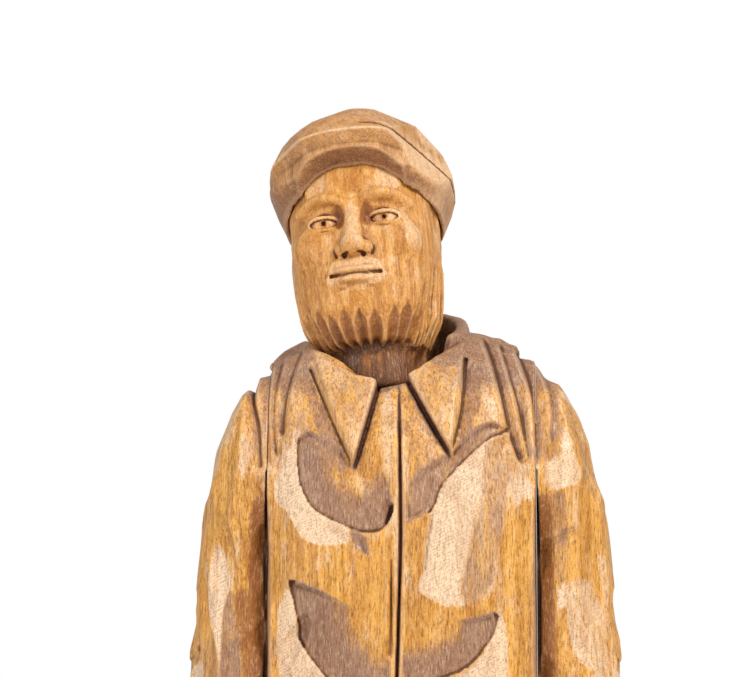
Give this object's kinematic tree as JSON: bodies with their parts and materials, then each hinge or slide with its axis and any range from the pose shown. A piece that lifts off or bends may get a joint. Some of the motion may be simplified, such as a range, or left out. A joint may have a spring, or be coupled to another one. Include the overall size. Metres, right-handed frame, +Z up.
{
  "type": "carved wooden figurine",
  "caption": "Standing folk-art figurine of a bearded man in a flat cap and pleated jacket, carved in wood and screwed to a bevelled plinth.",
  "frame": {"origin": "the middle of the felt sheet's underside, on the surface that the figurine stands on", "axes": "+Z up through the figure, +X to the right of someone looking at the figure's front, -Y the way the figure faces"},
  "size_m": [0.116, 0.088, 0.3106],
  "materials": {
    "body_wood": "carved facets under a satin varnish",
    "head_wood": "carved, a little glossier than the body",
    "cap_wood": "smoothed and satin",
    "plinth_wood": "stained and satin",
    "felt": "matt wool felt",
    "dowel_wood": "plain beech",
    "screw_steel": "yellow-passivated steel"
  },
  "bodies": {
    "root": {"body": "body_wood", "arm_left": "body_wood", "arm_right": "body_wood", "head": "head_wood", "cap": "cap_wood", "plinth": "plinth_wood", "felt_sheet": "felt", "neck_dowel": "dowel_wood", "cap_dowel": "dowel_wood", "left_shoulder_dowel": "dowel_wood", "left_pocket_dowel": "dowel_wood", "right_shoulder_dowel": "dowel_wood", "right_pocket_dowel": "dowel_wood", "base_screw_left": "screw_steel", "base_screw_right": "screw_steel"}
  },
  "joints": []
}
